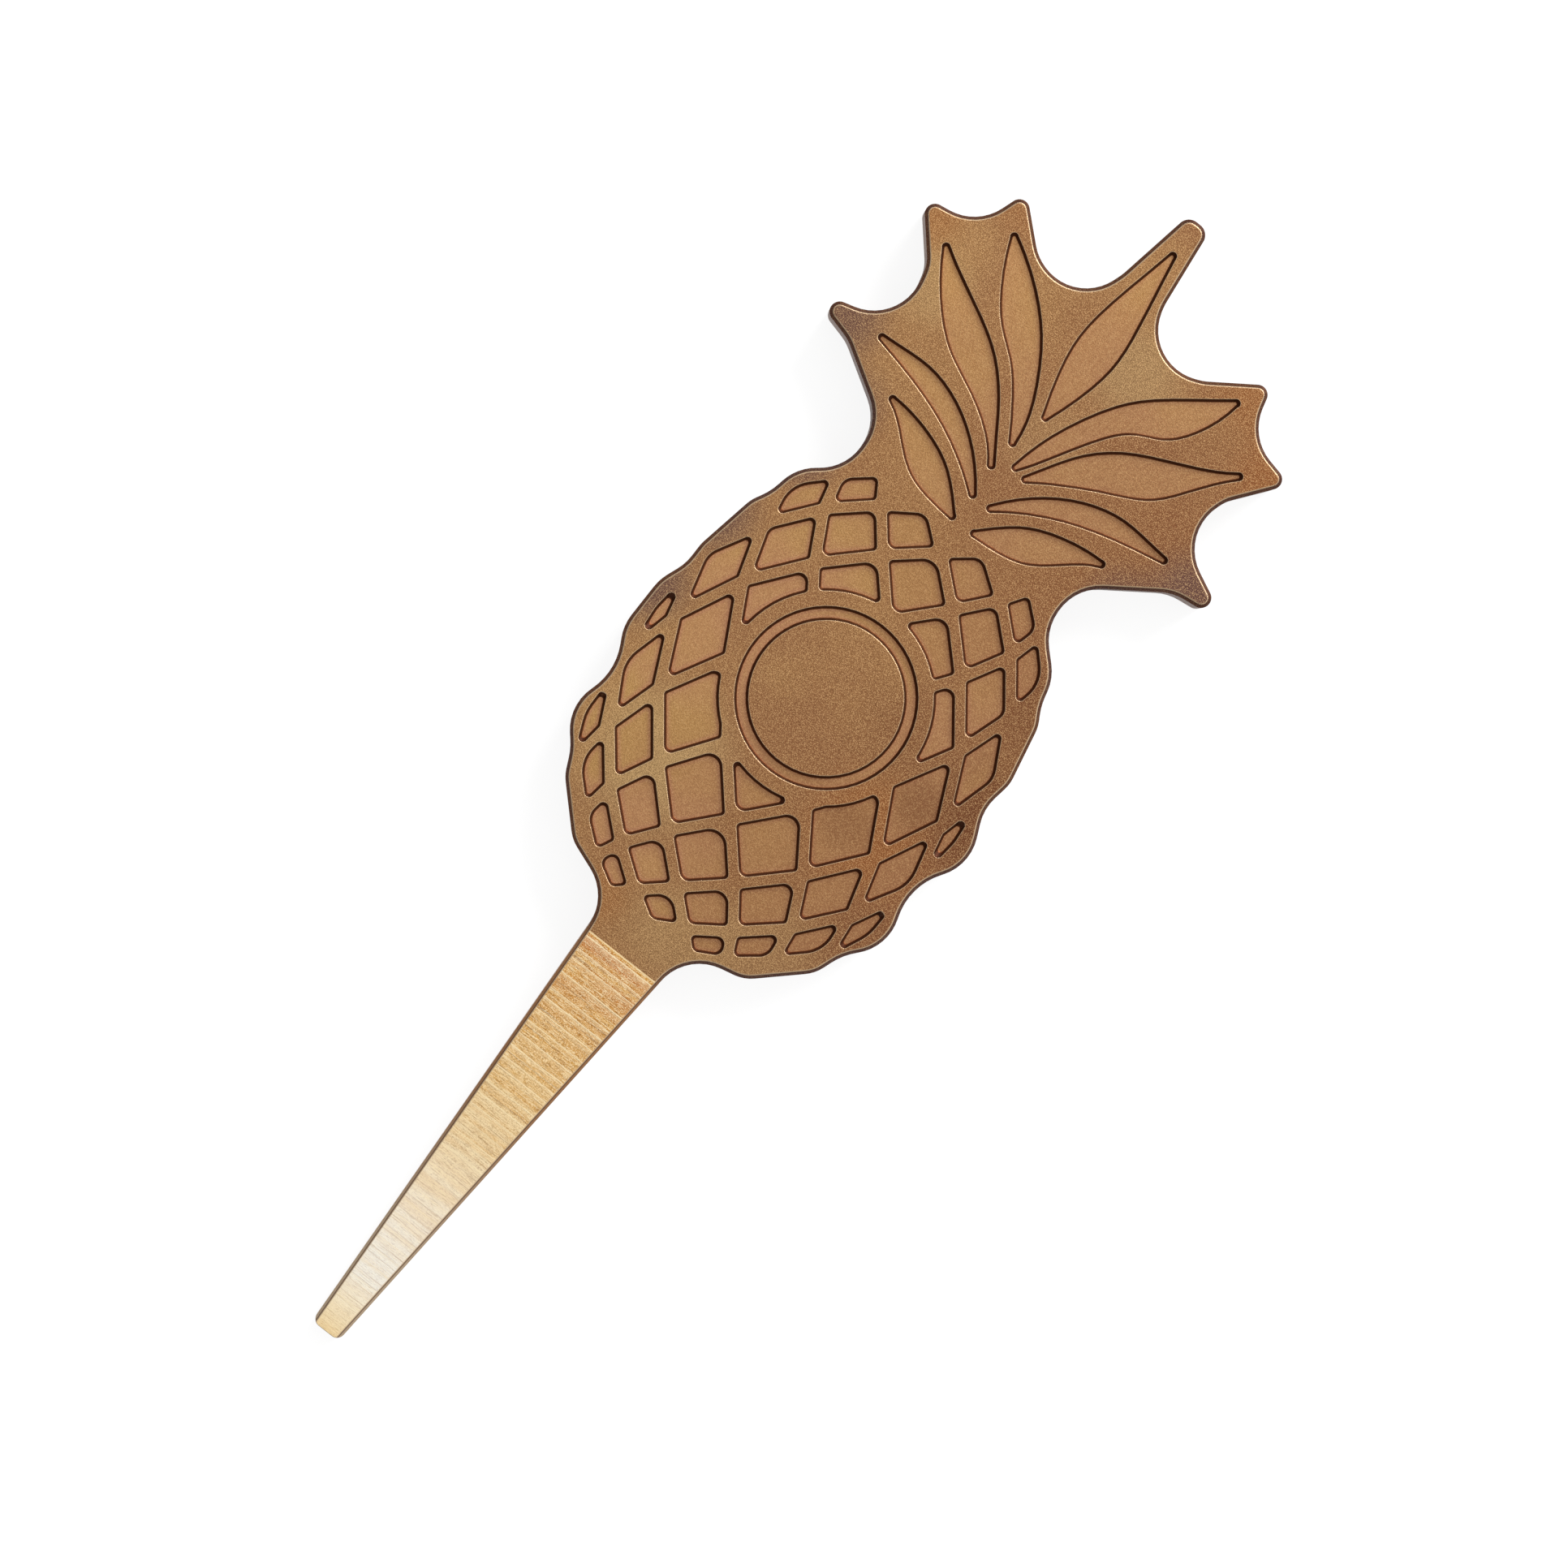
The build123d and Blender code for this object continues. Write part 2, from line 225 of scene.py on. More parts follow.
def grain_group():
    """Specks and dimples of the blasting, and the slow clouds and drift of the patina."""
    inputs = {"Place": (0, 0, 0), "Dimples per mm": DIMPLES_PER_MM, "Cloud size": CLOUD_SIZE}
    group, start = new_group("blasted_grain", inputs)
    place = start.outputs["Place"]
    fine = noise(group, place, start.outputs["Dimples per mm"], detail=1.0, roughness=0.6)
    coarse = noise(group, place, COARSE_PER_MM, detail=1.0)
    lowered = calculate(group, "SUBTRACT", fine, COARSE_SHARE / 2)
    uneven = calculate(group, "MULTIPLY_ADD", coarse, COARSE_SHARE, lowered)
    clouds_per_mm = calculate(group, "DIVIDE", 1.0, start.outputs["Cloud size"])
    cloud = noise(group, place, clouds_per_mm, detail=2.0, roughness=0.45)
    drift = noise(group, place, times(group, clouds_per_mm, DRIFT_TO_CLOUD), detail=1.0)
    return put_out(group, {
        # The light specks are painted glints of the dimples.
        "Glinting speck": between(group, uneven, *GLINT_SPECK),
        "Dark speck": between(group, uneven, *DARK_SPECK),
        "Cloud": between(group, cloud, *CLOUD),
        "Drift": between(group, drift, *DRIFT),
        "Height": fine,
    })


grain = grain_group()


# %% [markdown]
# ## Cutter marks on the floors
# The small end mill went round each leaf in closed paths, so its floor shows fine lines that
# run with the leaf. Cutting them as grooves would cost thousands of faces for marks that can
# hardly be felt. The leaves fan out from one point, so lines of equal direction from that
# point run along them. The floors of the scales only show faint rings.

# %% Node group: floor marks
# The leaves fan out from this height, and begin this far above it, both in mm.
FAN_HEIGHT = 9.0
LEAVES_BEGIN = 4.0
# The noise for the leaf lines changes quickly across a leaf and slowly along it.
ACROSS_PER_RADIAN = 12.0
ALONG_PER_MM = 0.12
LEAF_LINE_SCALE = 6.5
LEAF_LINE = (0.35, 0.65)
RINGS = {"Scale": 1.6, "Distortion": 2.0, "Detail": 2.0, "Detail Scale": 0.6}


def floor_marks_group():
    """Fine lines along the leaves, faint rings on the scales, and a mask for the leaves."""
    group, start = new_group("floor_marks", {"Place": (0, 0, 0), "Fan height": FAN_HEIGHT})
    place = add_node(group, "ShaderNodeSeparateXYZ", {0: start.outputs["Place"]})
    above = calculate(group, "SUBTRACT", place.outputs["Y"], start.outputs["Fan height"])
    direction = calculate(group, "ARCTAN2", place.outputs["X"], above)
    across = times(group, direction, ACROSS_PER_RADIAN)
    along = times(group, above, ALONG_PER_MM)
    fan = add_node(group, "ShaderNodeCombineXYZ", {"X": across, "Y": along}).outputs[0]
    line = noise(group, fan, LEAF_LINE_SCALE, detail=2.0, roughness=0.7)
    waves = {"Vector": start.outputs["Place"], **RINGS}
    ring = add_node(group, "ShaderNodeTexWave", waves, wave_type="RINGS", rings_direction="Z")
    return put_out(group, {
        "Leaf line": between(group, line, *LEAF_LINE),
        "Ring": ring.outputs["Fac"],
        "On a leaf": calculate(group, "GREATER_THAN", above, LEAVES_BEGIN),
    })


floor_marks = floor_marks_group()


# %% [markdown]
# ## Passes of the cutter on the ramp
# The prong was thinned by a ball cutter that crossed it again and again. Each pass leaves a
# crest, painted with shade and a bright highlight, and finer lines and dark scratches lie
# between the crests. They could be grooves in the mesh, but they are too fine to change the
# outline. All of them are noises and waves that change quickly along the prong and hardly at
# all across it, and a slow noise bends them a little, so that they don't look ruled.

# %% Patterns for the ramp
BEND = 0.12
BENDS_PER_MM = 0.5
UNEVEN_FEED = 1.2
FEED_CHANGES_PER_MM = 0.5
# A wave texture's scale of 0.34 sets a crest every 0.92 mm, and 0.93 one every 0.34 mm.
PASSES = 0.34
SMALL_PASSES = 0.93
# Each noise keeps a share of the ramp's width, and has a scale, a detail and a roughness.
DASHES = (0.1, 13.0, 2.0, 0.75)
LONG_LINES = (0.02, 7.0, 1.0, 0.5)
WIDE_BANDS = (0.06, 1.1, 1.0, 0.5)
SMALL_PASS_WIDTH = 0.06
# Where each mark begins and is full on its noise or wave, and how strong it is.
CREST_HIGHLIGHT_LINE = (0.91, 0.97, 0.6)
SMALL_LINE = (0.7, 0.9, 0.35)
SCRATCH = (0.42, 0.3, 0.9)
DARK_DASH = (0.5, 0.32, 0.75)
PALE_LINE = (0.52, 0.7)
SMALL_LINES_HERE = (0.4, 0.6)
BAND = (0.4, 0.62)
SWELL_POWER = 3.0
SWELL_SHADE_STRENGTH = 0.45


def mark(tree, value, start, end, strength):
    """A mask between two values of a pattern, as strong as given."""
    return times(tree, between(tree, value, start, end), strength)


def saw_waves(group, place, scale):
    """Waves along the prong that rise slowly and drop at once, as a crest between two passes does."""
    settings = {"wave_type": "BANDS", "bands_direction": "Y", "wave_profile": "SAW"}
    waves = add_node(group, "ShaderNodeTexWave", {"Vector": place, "Scale": scale}, **settings)
    return waves.outputs["Fac"]


# %% [markdown]
# ## The ramp's marks as one group
# Each pass of the cutter swelled towards its crest, so the crest is the steep end of a saw
# wave; the swelling is painted shade that brightens towards the crest, and the crest line is a
# painted highlight. A slow noise in the feed keeps the crests from being evenly spaced. The small
# lines between them come and go with wide bands. An image of milled metal could show all this,
# but it would repeat and blur, and these patterns don't.

# %% Node group: ramp marks
def ramp_marks_group():
    """Painted crest highlights and shading, dark furrows, pale lines and wide bands across the ramp, and
    the height of its lines.
    """
    group, start = new_group("ramp_marks", {"Place": (0, 0, 0)})
    place = add_node(group, "ShaderNodeSeparateXYZ", {0: start.outputs["Place"]})
    bend = times(group, noise(group, start.outputs["Place"], BENDS_PER_MM), BEND)
    along = calculate(group, "ADD", place.outputs["Y"], bend)

    def stretched(width_share):
        """The place with only a share of its width, which draws a pattern on it out into lines."""
        width = times(group, place.outputs["X"], width_share)
        return add_node(group, "ShaderNodeCombineXYZ", {"X": width, "Y": along}).outputs[0]

    def line_noise(width_share, scale, detail, roughness):
        """A noise that is drawn out across the ramp."""
        return noise(group, stretched(width_share), scale, detail, roughness)

    dashes = line_noise(*DASHES)
    wide = line_noise(*WIDE_BANDS)
    scratch = mark(group, line_noise(*LONG_LINES), *SCRATCH)
    feed = {"W": along, "Scale": FEED_CHANGES_PER_MM}
    feed = add_node(group, "ShaderNodeTexNoise", feed, noise_dimensions="1D").outputs[0]
    uneven = calculate(group, "ADD", along, times(group, feed, UNEVEN_FEED))
    passes = saw_waves(group, add_node(group, "ShaderNodeCombineXYZ", {"Y": uneven}).outputs[0], PASSES)
    # Painted shade that brightens towards each crest.
    swell = times(group, calculate(group, "POWER", passes, SWELL_POWER), SWELL_SHADE_STRENGTH)
    small_line = mark(group, saw_waves(group, stretched(SMALL_PASS_WIDTH), SMALL_PASSES), *SMALL_LINE)
    small_line = times(group, small_line, between(group, wide, *SMALL_LINES_HERE))
    # Both kinds of crest line are painted highlights of the passes.
    line = calculate(group, "MAXIMUM", mark(group, passes, *CREST_HIGHLIGHT_LINE), small_line)
    return put_out(group, {
        "Crest highlight": calculate(group, "ADD", swell, line),
        "Furrow": calculate(group, "MAXIMUM", scratch, mark(group, dashes, *DARK_DASH)),
        "Pale line": between(group, dashes, *PALE_LINE),
        "Band": between(group, wide, *BAND),
        "Height": dashes,
    })


ramp_marks = ramp_marks_group()


# %% [markdown]
# ## Colours, one over another
# The finish is brown over brass, stained and rubbed in places. One colour ramp over a noise
# could hold all of its browns, but then each would turn up anywhere. A painter would glaze it
# in thin layers instead, and the nodes do the same: each layer is a colour, and a mask that
# says how much of it shows. A stain is a soft round spot, because real stains have no sharp
# border. A colour is written as it looks on a screen, and turned into linear values.

# %% Helpers: colours and stains
# A spot is at its full strength up to this share of its radius.
SOLID_SHARE = 0.25


def colour(red, green, blue):
    """A colour given as 0 to 255 on a screen, as linear values."""
    shares = [value / 255 for value in (red, green, blue)]
    linear = [s / 12.92 if s <= 0.04045 else ((s + 0.055) / 1.055) ** 2.4 for s in shares]
    return (*linear, 1.0)


def glaze(tree, mask, under, over):
    """One colour over another, as thick as the mask says."""
    return add_node(tree, "ShaderNodeMix", {0: mask, 6: under, 7: over}, data_type="RGBA").outputs[2]


def stain(tree, place, skin, spots, shade):
    """The skin with soft round spots of a shade; each has its x, y and radius in mm, and its strength."""
    for x, y, radius, strength in spots:
        centre = (x, y, face_height / MM)
        reach = add_node(tree, "ShaderNodeVectorMath", {0: place, 1: centre}, operation="DISTANCE")
        spot = between(tree, reach.outputs["Value"], radius, SOLID_SHARE * radius)
        skin = glaze(tree, times(tree, spot, strength), skin, shade)
    return skin


# %% [markdown]
# ## The face
# The land is what a machinist calls the metal left standing: here the blasted ribs and rims.
# The face is olive on the left of the fruit, and redder and darker towards the right, and the
# grain shows in it as painted glints and dark specks. One brown with a bump would be simpler,
# but the real skin was never even, so these are the browns to mix.

# %% Colours of the land
LAND_BROWN = colour(144, 100, 62)
LAND_OLIVE = colour(158, 117, 72)
LAND_RED = colour(124, 76, 44)
LAND_GOLD = colour(178, 150, 102)
LAND_WARM = colour(142, 82, 34)
LAND_DARK = colour(98, 50, 22)
LAND_VIOLET = colour(84, 56, 56)
# The pale of the grain's painted glints, and of the floors' cutter lines.
SPECK_LIGHT = colour(216, 176, 124)
SPECK_DARK = colour(84, 52, 28)
print("olive land in linear light", [round(part, 3) for part in LAND_OLIVE[:3]])

# %% [markdown]
# ## Spots on the face
# The plate is rubbed to gold low on the fruit and between the leaves, and violet near some of
# the outer edges. A noise alone would put these spots anywhere, so the large ones are placed
# one by one, and the noise only breaks them up.

# %% Spots on the land
# Each spot has its x, y and radius in mm, and its strength.
RUBBED_SPOTS = [
    (-6.0, -9.5, 6.5, 0.55),
    (2.0, -17.5, 5.0, 0.3),
    (-10.7, 24.4, 3.5, 0.3),
    (2.6, 28.0, 4.5, 0.4),
    (0.8, 21.4, 4.0, 0.2),
    (7.0, -15.0, 5.5, 0.25),
]
WARM_SPOTS = [
    (7.5, -5.0, 5.5, 0.6),
    (-3.5, -18.5, 2.5, 0.45),
    (9.5, 32.5, 4.5, 0.5),
    (14.2, 28.4, 4.5, 0.55),
    (-14.0, 28.0, 3.5, 0.5),
    (-9.0, 32.0, 3.0, 0.3),
]
DARK_SPOTS = [
    (13.0, 0.0, 6.0, 0.85),
    (11.5, 7.5, 4.5, 0.5),
    (11.0, -11.0, 4.0, 0.25),
    (5.5, 1.5, 5.0, 0.25),
]
VIOLET_SPOTS = [
    (-10.5, 11.0, 3.0, 0.7),
    (-13.0, 5.0, 4.0, 0.85),
    (-13.5, -1.0, 4.0, 0.85),
    (-14.5, 19.5, 4.5, 0.8),
    (-10.5, 15.5, 3.5, 0.5),
    (14.5, 19.0, 4.5, 0.85),
    (11.0, 16.0, 3.5, 0.6),
]
print("spots", sum(len(spots) for spots in (RUBBED_SPOTS, WARM_SPOTS, DARK_SPOTS, VIOLET_SPOTS)))

# %% [markdown]
# ## The skin of the land
# The layers go on from the widest to the finest: clouds of olive, the red of the right-hand
# side, the spots, and at last the specks. Laid the other way round, the spots would hide the
# grain, and the metal would look painted.

# %% Skin of the land
# The face reddens and darkens from the first of these x in mm to the second.
REDDENS = (-10.0, 16.0)
RED_BY_PLACE = 0.82
RED_BY_DRIFT = 0.3
LAND_SPECKS = (0.5, 0.45)


def share_of_way(tree, value, start, end):
    """0 at the start and 1 at the end, and an even rise in between."""
    inputs = {"Value": value, "From Min": start, "From Max": end}
    return add_node(tree, "ShaderNodeMapRange", inputs).outputs[0]


def redness_to_the_right(tree, spot, blast):
    """How red and dark the face is: more towards the right-hand side, and uneven with the drift."""
    by_place = times(tree, share_of_way(tree, spot.outputs["X"], *REDDENS), RED_BY_PLACE)
    return calculate(tree, "MULTIPLY_ADD", blast.outputs["Drift"], RED_BY_DRIFT, by_place)


def glints_and_specks(tree, blast, skin, light, dark):
    """The skin with the grain's painted glints and its dark specks, each as strong as given."""
    # Painted glints first, then the grain's dark specks.
    skin = glaze(tree, times(tree, blast.outputs["Glinting speck"], light), skin, SPECK_LIGHT)
    return glaze(tree, times(tree, blast.outputs["Dark speck"], dark), skin, SPECK_DARK)


def land_skin(tree, place, blast, redness):
    """The blasted face: clouded brown, redder to the right, with light and dark specks."""
    skin = glaze(tree, blast.outputs["Cloud"], LAND_BROWN, LAND_OLIVE)
    skin = glaze(tree, redness, skin, LAND_RED)
    skin = stain(tree, place, skin, RUBBED_SPOTS, LAND_GOLD)
    skin = stain(tree, place, skin, WARM_SPOTS, LAND_WARM)
    skin = stain(tree, place, skin, DARK_SPOTS, LAND_DARK)
    skin = stain(tree, place, skin, VIOLET_SPOTS, LAND_VIOLET)
    return glints_and_specks(tree, blast, skin, *LAND_SPECKS)


# %% [markdown]
# ## The pockets
# A floor is smoother than the land, so its specks are weaker. It is pink beside the walls and
# olive towards the middle, the leaves are more golden, and a few scales on the right have a
# dark stain. The walls are nearly black, partly dark patina and partly painted shade, with a
# painted orange reflection at their foot. They could be left to the lamps, but shadow alone is
# never as dark as the real line round each pocket.

# %% Skin of the pockets
FLOOR_PINK = colour(170, 117, 86)
FLOOR_OLIVE = colour(173, 134, 74)
FLOOR_RED = colour(144, 97, 63)
LEAF_GOLD = colour(170, 122, 72)
# The walls' near black is partly patina and partly painted shade; the orange is a painted reflection.
WALL_PATINA_AND_SHADE = colour(80, 44, 27)
FOOT_REFLECTION_ORANGE = colour(158, 96, 56)
FLOOR_STAINS = [
    (5.8, -5.5, 2.6, 0.35),
    (8.8, -1.6, 2.8, 0.5),
    (10.4, 2.6, 2.6, 0.2),
]
OLIVE_EVERYWHERE = 0.32
OLIVE_CLOUDS = 0.55
LEAF_GOLD_STRENGTH = 0.75
RING_STRENGTH = 0.05
LEAF_LINE_STRENGTH = 0.09
FLOOR_SPECKS = (0.28, 0.2)


def floor_skin(tree, place, blast, marks, redness, near_wall):
    """A milled floor: smoother and pinker than the face, with the cutter's faint lines."""
    clouded = calculate(tree, "MULTIPLY_ADD", blast.outputs["Cloud"], OLIVE_CLOUDS, OLIVE_EVERYWHERE)
    olive = calculate(tree, "SUBTRACT", clouded, near_wall, clamp=True)
    skin = glaze(tree, olive, FLOOR_PINK, FLOOR_OLIVE)
    on_a_leaf = marks.outputs["On a leaf"]
    golden = times(tree, on_a_leaf, calculate(tree, "SUBTRACT", LEAF_GOLD_STRENGTH, redness))
    skin = glaze(tree, golden, skin, LEAF_GOLD)
    skin = glaze(tree, redness, skin, FLOOR_RED)
    skin = stain(tree, place, skin, FLOOR_STAINS, LAND_DARK)
    ringed = times(tree, marks.outputs["Ring"], RING_STRENGTH)
    lined = times(tree, times(tree, marks.outputs["Leaf line"], on_a_leaf), LEAF_LINE_STRENGTH)
    skin = glaze(tree, calculate(tree, "ADD", ringed, lined), skin, SPECK_LIGHT)
    return glints_and_specks(tree, blast, skin, *FLOOR_SPECKS)


def wall_patina_and_shade(tree, zone):
    """A pocket wall: nearly black brown of patina and painted shade, with a painted orange reflection where
    it meets the floor.
    """
    return glaze(tree, zone.outputs["Foot"], WALL_PATINA_AND_SHADE, FOOT_REFLECTION_ORANGE)


# %% [markdown]
# ## The sides
# The profiled sides and their bevels kept the darkest skin, brown with a violet bloom. Next to
# the face the bevel has a cream brink, a painted highlight, and under it a dark lip, a painted
# shade, and together they draw the outline. Along the prong the skin grows paler, as if rubbed
# by use. The sides could be one even brown, but then the outline would look printed.

# %% Skin of the sides
EDGE_BROWN = colour(88, 48, 26)
EDGE_VIOLET = colour(74, 46, 44)
PRONG_EDGE = colour(150, 106, 70)
TIP_EDGE = colour(184, 162, 136)
# The brown of the painted shade along the lip.
LIP_SHADE_BROWN = colour(84, 50, 34)
# The cream of the painted rim highlights, which are partly wear.
RIM_HIGHLIGHT_CREAM = colour(226, 198, 160)
# Each pair of heights y in mm says where the paler skin begins and where it is full.
PRONG_BEGINS = (root_y + 1.5, root_y - 1.5)
PALE_END_BEGINS = (root_y - 8.0, tip_y + 4.0)
BLOOM_STRENGTH = 0.8
EDGE_SPECKS = 0.2
LIP_SHADE_STRENGTH = 0.85
BRINK_HIGHLIGHT_STRENGTH = 0.65


def edge_skin(tree, spot, zone, blast):
    """The sides and bevels: brown with a violet bloom, a dark lip of painted shade and a brink of painted
    highlight.
    """
    along = spot.outputs["Y"]
    skin = glaze(tree, times(tree, blast.outputs["Drift"], BLOOM_STRENGTH), EDGE_BROWN, EDGE_VIOLET)
    skin = glaze(tree, between(tree, along, *PRONG_BEGINS), skin, PRONG_EDGE)
    skin = glaze(tree, between(tree, along, *PALE_END_BEGINS), skin, TIP_EDGE)
    # The grain's painted glints, faint on the sides.
    skin = glaze(tree, times(tree, blast.outputs["Glinting speck"], EDGE_SPECKS), skin, SPECK_LIGHT)
    # Painted shade: the dark lip just below the face.
    lip = times(tree, zone.outputs["Lip"], zone.outputs["Bevel"])
    skin = glaze(tree, times(tree, lip, LIP_SHADE_STRENGTH), skin, LIP_SHADE_BROWN)
    # Painted highlight: the cream brink next to the face.
    brink = times(tree, zone.outputs["Brink"], zone.outputs["Bevel"])
    return glaze(tree, times(tree, brink, BRINK_HIGHLIGHT_STRENGTH), skin, RIM_HIGHLIGHT_CREAM)


# %% [markdown]
# ## The ramp
# The ramp is bare brass. Its colour goes from a deep gold at its root to almost white near the
# tip, and is golden again at the very end: the pale part is a painted reflection. A single
# colour with gloss would only shine in one place, so its base colour follows the distance from
# the root.

# %% Brass of the ramp
# Each stop is a share of the way from the root to the tip, and the brass there, with its painted
# reflection.
RAMP_SHEEN_STOPS = [
    (0.0, colour(197, 110, 28)),
    (0.2, colour(222, 165, 84)),
    (0.35, colour(237, 199, 136)),
    (0.5, colour(247, 223, 178)),
    (0.68, colour(254, 242, 220)),
    (0.85, colour(255, 252, 242)),
    (0.93, colour(255, 240, 208)),
    (1.0, colour(246, 218, 164)),
]


def brass_with_painted_sheen(tree, down):
    """The colour of the brass and its painted reflection, from the ramp's root to its tip."""
    blend = add_node(tree, "ShaderNodeValToRGB", {0: down})
    stops = blend.color_ramp.elements
    stops.remove(stops[1])
    stops[0].color = RAMP_SHEEN_STOPS[0][1]
    for position, shade in RAMP_SHEEN_STOPS[1:]:
        stops.new(position).color = shade
    return blend.outputs[0]


# %% [markdown]
# ## The marks on the ramp
# The marks lie on the brass as lighter and darker lines, and fade towards the tip. Bump alone
# would only show them where a lamp grazes them, so they are in the colour too, and the crests
# are painted highlights and shade. The cutter's first touch left a pale line right across the
# root, a painted highlight on the small edge there.

# %% Skin of the ramp
RAMP_GOLD = colour(224, 166, 74)
RAMP_FURROW = colour(150, 100, 48)
# The pale of the lines, and of painted highlights on crests, specks and the first cut.
RAMP_PALE_AND_HIGHLIGHT = colour(255, 234, 190)
# The marks fade between these shares of the way, down to the strength that they keep at the tip.
FADES = (0.85, 0.15)
TIP_STRENGTH = 0.34
ADDED_AT_ROOT = 0.62
PIT_STRENGTH = 0.6
SPECK_STRENGTH = 0.8
CREST_HIGHLIGHT_STRENGTH = 0.9
# The first cut lies this far below the root, and reaches this far to each side, in mm.
FIRST_CUT_BELOW = 0.07
FIRST_CUT_REACH = 0.04
FIRST_CUT_STRENGTH = 0.5


def ramp_skin(tree, spot, blast, marks):
    """Bare milled brass, with painted crest highlights and furrows that fade towards the tip."""
    down = share_of_way(tree, spot.outputs["Y"], root_y, tip_y)
    strength = calculate(tree, "MULTIPLY_ADD", between(tree, down, *FADES), ADDED_AT_ROOT, TIP_STRENGTH)

    def faded(mask, amount=1.0):
        """A mask that grows weaker towards the tip."""
        return times(tree, mask, times(tree, strength, amount))

    band = times(tree, marks.outputs["Band"], calculate(tree, "POWER", strength, 2.0))
    # The brass with its painted reflection, and gold in the wide bands.
    skin = glaze(tree, band, brass_with_painted_sheen(tree, down), RAMP_GOLD)
    skin = glaze(tree, faded(marks.outputs["Furrow"]), skin, RAMP_FURROW)
    skin = glaze(tree, faded(blast.outputs["Dark speck"], PIT_STRENGTH), skin, RAMP_FURROW)
    # The grain's painted glints on the brass, fading towards the tip.
    speck = faded(blast.outputs["Glinting speck"], SPECK_STRENGTH)
    light = calculate(tree, "MAXIMUM", faded(marks.outputs["Pale line"]), speck)
    skin = glaze(tree, light, skin, RAMP_PALE_AND_HIGHLIGHT)
    # Painted highlights and shade of the cutter's crests.
    skin = glaze(tree, faded(marks.outputs["Crest highlight"], CREST_HIGHLIGHT_STRENGTH), skin, RAMP_PALE_AND_HIGHLIGHT)
    # The first cut's pale line is a painted highlight on the edge at the root.
    first_cut = calculate(tree, "COMPARE", spot.outputs["Y"], root_y - FIRST_CUT_BELOW, FIRST_CUT_REACH)
    return glaze(tree, times(tree, first_cut, FIRST_CUT_STRENGTH), skin, RAMP_PALE_AND_HIGHLIGHT)


# %% [markdown]
# ## Edges that catch the light
# Handling rubs a plate first where it has an edge. The rims could be bevelled in the mesh, but
# a solid model's mesh stays as it came. The Bevel node only rounds the shading: where its
# normal leaves the face's own, there is an edge nearby. A small radius finds the rims of the
# face, where a cream line beside each dark wall is painted: partly wear, partly a painted
# highlight. A large one finds the part of a floor that is near a wall.

# %% Edges
rim_radius = 0.09 * MM
wall_reach = 0.6 * MM
RIM_SAMPLES = 8
WALL_SAMPLES = 4
# The cosines at which a mask begins and is full: 2.6 and 14 degrees, and 0 and 18 degrees.
RIM = (0.999, 0.97)
NEAR_WALL = (1.0, 0.95)
RIM_HIGHLIGHT_STRENGTH = 0.6


def rounded_normal(tree, radius, samples):
    """The normal that the surface would have with its edges rounded to a radius."""
    return add_node(tree, "ShaderNodeBevel", {"Radius": radius}, samples=samples).outputs[0]


def near_an_edge(tree, rounded, own_normal, start, end):
    """A mask that grows from 0 to 1 as the two normals agree less; start and end are cosines."""
    agreement = add_node(tree, "ShaderNodeVectorMath", {0: rounded, 1: own_normal}, operation="DOT_PRODUCT")
    return between(tree, agreement.outputs["Value"], start, end)


# %% [markdown]
# ## Gloss and relief
# Blasted metal is matte, a milled floor a little less so, and rubbed rims and the bare ramp
# are the smoothest. The dimples and the cutter's lines are too shallow to model, so they are
# bump, 0.03 mm deep. In the pockets the bump starts from the face's own normal, because
# rounded shading would blur the crisp line between a wall and its floor.

# %% Gloss and relief
BLASTED_ROUGHNESS = 0.42
ROUGHER_IN_CLOUDS = 0.06
SMOOTHER_FLOOR = 0.04
SMOOTHER_RIM = 0.12
SMOOTHER_RAMP = 0.1
BUMP_STRENGTH = 0.5
bump_depth = 0.03 * MM


def roughness_of(tree, zone, blast, rim_wear_and_highlight):
    """How matte each zone is."""
    matte = calculate(tree, "MULTIPLY_ADD", blast.outputs["Cloud"], ROUGHER_IN_CLOUDS, BLASTED_ROUGHNESS)
    matte = calculate(tree, "SUBTRACT", matte, times(tree, zone.outputs["Floor"], SMOOTHER_FLOOR))
    matte = calculate(tree, "SUBTRACT", matte, times(tree, rim_wear_and_highlight, SMOOTHER_RIM))
    return calculate(tree, "SUBTRACT", matte, times(tree, zone.outputs["Ramp"], SMOOTHER_RAMP))


def relief_of(tree, zone, blast, passes, rim, own_normal):
    """The normal of the dimpled face, the lined ramp and the crisp pockets."""
    off_ramp = calculate(tree, "SUBTRACT", 1.0, zone.outputs["Ramp"])
    dimples = times(tree, blast.outputs["Height"], off_ramp)
    lines = times(tree, passes.outputs["Height"], zone.outputs["Ramp"])
    height = calculate(tree, "ADD", dimples, lines)
    in_a_pocket = calculate(tree, "MAXIMUM", zone.outputs["Floor"], zone.outputs["Wall"])
    normals = {0: in_a_pocket, 4: rim, 5: own_normal}
    smooth = add_node(tree, "ShaderNodeMix", normals, data_type="VECTOR").outputs[1]
    bump = {"Strength": BUMP_STRENGTH, "Distance": bump_depth, "Height": height, "Normal": smooth}
    return add_node(tree, "ShaderNodeBump", bump).outputs[0]


# %% [markdown]
# ## The patinated brass
# One shader carries the whole tool, because it is one piece of metal. The skins are laid over
# one another zone by zone. The patina is an oxide and not bare metal, so the shader is three
# quarters metallic. Fully metallic, it would mirror the white room and lose its brown. The
# solid model is in metres, so one Mapping node turns its coordinates into millimetres.

# %% Material: patinated brass
METALLIC = 0.75
MM_PER_METRE = (1000, 1000, 1000)


